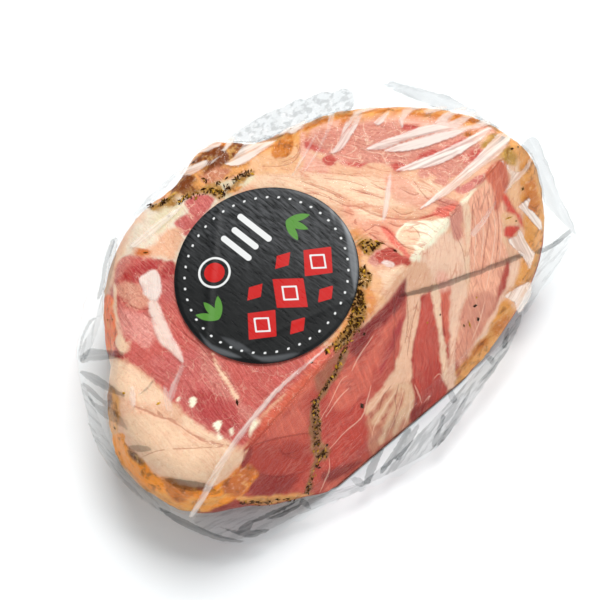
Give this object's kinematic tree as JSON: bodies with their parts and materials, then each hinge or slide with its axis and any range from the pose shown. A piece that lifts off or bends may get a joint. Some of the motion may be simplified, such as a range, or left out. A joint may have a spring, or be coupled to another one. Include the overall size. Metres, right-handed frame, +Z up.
{
  "type": "sealed film pack with a cut piece of rolled baked ham",
  "caption": "Clear film bag shrunk round a cut piece of rolled baked ham, with a loose wavy edge all round and a round label on the sloping top cut; lies on its flat underside.",
  "frame": {"origin": "middle of the plan box, on the flat underside the pack lies on", "axes": "+X along the ridge towards its high end, +Z up; the front cut faces -Y"},
  "size_m": [0.232, 0.152, 0.0888],
  "materials": {
    "packed_meat": "clear film drawn tight over pink and cream meat",
    "label": "satin black printed paper with a slate-like grain",
    "film": "thin clear glossy film, hazy in its folds",
    "meat": "moist cooked meat, pink muscle, cream fat and a brown baked crust",
    "herbs": "dry crushed pepper and herbs"
  },
  "bodies": {
    "root": {"film_pack": "packed_meat", "label": "label"}
  },
  "joints": []
}
